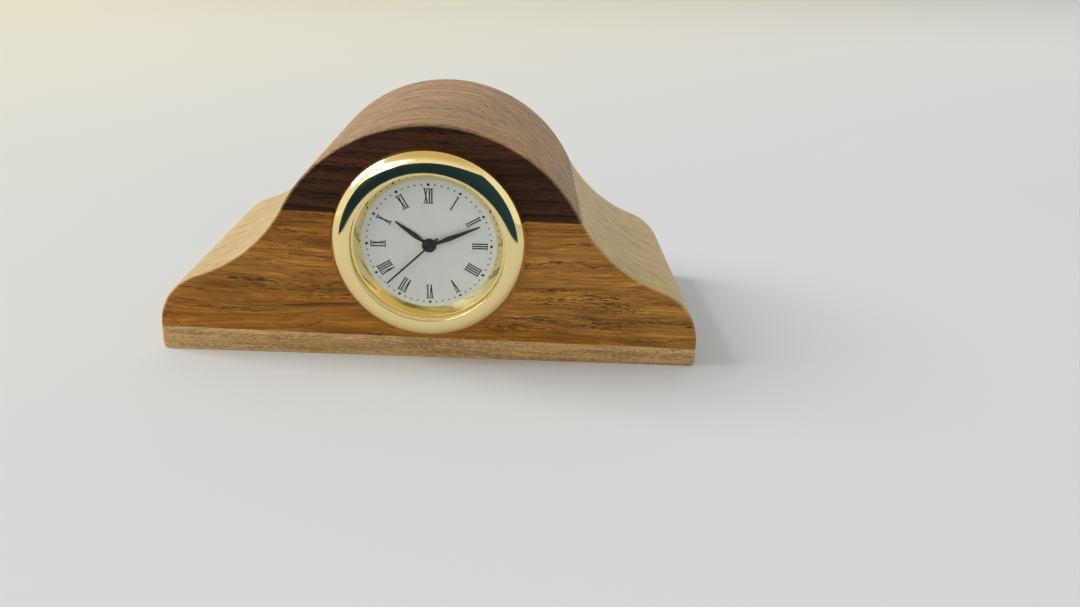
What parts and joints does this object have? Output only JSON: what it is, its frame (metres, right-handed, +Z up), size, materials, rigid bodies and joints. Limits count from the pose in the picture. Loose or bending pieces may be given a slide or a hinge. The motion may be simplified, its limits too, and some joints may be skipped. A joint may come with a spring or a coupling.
{
  "type": "desk clock",
  "caption": "Wooden desk clock: an arched body glued from contrasting woods holds a push-in quartz insert with a domed gold bezel, a Roman dial and turning hands.",
  "frame": {"origin": "centre of the underside of the wooden body, on the surface that the clock stands on", "axes": "+Z up, +X to the right along the width, the dial faces -Y"},
  "size_m": [0.1052, 0.0521, 0.0463],
  "materials": {
    "dark_wood": "satin oil",
    "honey_wood": "satin oil",
    "pale_wood": "satin oil",
    "gold_plate": "polished",
    "clear_glass": "polished",
    "nylon": "matte",
    "dial_paint": "matte",
    "case_metal": "brushed",
    "grip_rubber": "matte",
    "holder_plastic": "matte",
    "cover_metal": "brushed",
    "hand_paint": "satin",
    "movement_brass": "brushed",
    "screw_steel": "polished",
    "soft_iron": "matte",
    "copper_wire": "enamelled",
    "board_laminate": "satin",
    "chip_resin": "matte",
    "can_metal": "polished",
    "magnet": "matte",
    "gear_brass": "polished",
    "crown_metal": "polished"
  },
  "bodies": {
    "wooden_body": {"base_board": "pale_wood", "middle_block": "honey_wood", "top_arch": "dark_wood"},
    "insert": {"bezel": "gold_plate", "reflector_ring": "gold_plate", "crystal": "clear_glass", "crystal_gasket": "nylon", "dial": "dial_paint", "case_tube": "case_metal", "grip_ring": "grip_rubber", "movement_ring": "holder_plastic", "back_cover": "cover_metal", "main_plate": "movement_brass", "train_bridge": "movement_brass", "bridge_screws": "screw_steel", "coil_screws": "screw_steel", "stator": "soft_iron", "coil_core": "soft_iron", "coil_bobbin": "holder_plastic", "coil_winding": "copper_wire", "circuit_board": "board_laminate", "clock_chip": "chip_resin", "quartz_resonator": "can_metal", "battery": "can_metal", "battery_clip": "screw_steel", "dial_washer": "gear_brass"},
    "seconds": {"second_wheel": "gear_brass", "second_hand": "hand_paint"},
    "intermediate": {"intermediate_wheel": "gear_brass"},
    "rotor": {"rotor_pinion": "gear_brass", "rotor_magnet": "magnet"},
    "third": {"third_wheel": "gear_brass"},
    "centre": {"centre_wheel": "gear_brass"},
    "minutes": {"cannon_pinion": "gear_brass", "minute_hand": "hand_paint"},
    "minute_wheel": {"minute_wheel": "gear_brass"},
    "hours": {"hour_wheel": "gear_brass", "hour_hand": "hand_paint"},
    "setting_wheel": {"setting_wheel": "gear_brass"},
    "setting_slide": {"setting_lever": "screw_steel"},
    "stem": {"stem": "screw_steel", "crown": "crown_metal"},
    "yoke_slide": {"yoke": "screw_steel"},
    "clutch": {"clutch_pinion": "screw_steel"}
  },
  "joints": [
    {"name": "insert_pull", "type": "slide", "parent": "wooden_body", "child": "insert", "axis": [0, -1, 0], "range_m": [0, 0.012]},
    {"name": "second_hand_turn", "type": "hinge", "parent": "insert", "child": "seconds", "pos_m": [-0.00045, -0.02425, 0.0239], "axis": [0, 1, 0], "continuous": true},
    {"name": "intermediate_wheel_turn", "type": "hinge", "parent": "insert", "child": "intermediate", "pos_m": [-0.00332, -0.02425, 0.02189], "axis": [0, 1, 0], "continuous": true},
    {"name": "rotor_turn", "type": "hinge", "parent": "insert", "child": "rotor", "pos_m": [-0.00528, -0.02425, 0.02052], "axis": [0, 1, 0], "continuous": true},
    {"name": "third_wheel_turn", "type": "hinge", "parent": "insert", "child": "third", "pos_m": [-0.00215, -0.02425, 0.02684], "axis": [0, 1, 0], "continuous": true},
    {"name": "centre_wheel_turn", "type": "hinge", "parent": "insert", "child": "centre", "pos_m": [-0.00045, -0.02425, 0.0239], "axis": [0, 1, 0], "continuous": true},
    {"name": "minute_hand_turn", "type": "hinge", "parent": "insert", "child": "minutes", "pos_m": [-0.00045, -0.02425, 0.0239], "axis": [0, 1, 0], "continuous": true},
    {"name": "minute_wheel_turn", "type": "hinge", "parent": "insert", "child": "minute_wheel", "pos_m": [0.0016, -0.02425, 0.0223], "axis": [0, 1, 0], "continuous": true},
    {"name": "hour_hand_turn", "type": "hinge", "parent": "insert", "child": "hours", "pos_m": [-0.00045, -0.02425, 0.0239], "axis": [0, 1, 0], "continuous": true},
    {"name": "setting_wheel_turn", "type": "hinge", "parent": "insert", "child": "setting_wheel", "pos_m": [0.00405, -0.02425, 0.0239], "axis": [0, 1, 0], "continuous": true},
    {"name": "crown_pull", "type": "slide", "parent": "insert", "child": "setting_slide", "axis": [1, 0, 0], "range_m": [0, 0.0008]},
    {"name": "crown_turn", "type": "hinge", "parent": "setting_slide", "child": "stem", "pos_m": [-0.00045, -0.0226, 0.0239], "axis": [1, 0, 0], "continuous": true},
    {"name": "yoke_slide", "type": "slide", "parent": "insert", "child": "yoke_slide", "axis": [1, 0, 0], "range_m": [-0.0004, 0]},
    {"name": "clutch_turn", "type": "hinge", "parent": "yoke_slide", "child": "clutch", "pos_m": [-0.00045, -0.0226, 0.0239], "axis": [1, 0, 0], "continuous": true}
  ],
  "couplings": [
    {"joint": "intermediate_wheel_turn", "follows": "second_hand_turn", "ratio": -6},
    {"joint": "rotor_turn", "follows": "second_hand_turn", "ratio": 30},
    {"joint": "third_wheel_turn", "follows": "second_hand_turn", "ratio": -0.13333},
    {"joint": "centre_wheel_turn", "follows": "second_hand_turn", "ratio": 0.016667},
    {"joint": "minute_wheel_turn", "follows": "minute_hand_turn", "ratio": -0.33333},
    {"joint": "hour_hand_turn", "follows": "minute_hand_turn", "ratio": 0.083333},
    {"joint": "setting_wheel_turn", "follows": "minute_hand_turn", "ratio": 0.66667},
    {"joint": "crown_turn", "follows": "minute_hand_turn", "ratio": 1},
    {"joint": "clutch_turn", "follows": "minute_hand_turn", "ratio": 1},
    {"joint": "yoke_slide", "follows": "crown_pull", "ratio": -0.5}
  ]
}
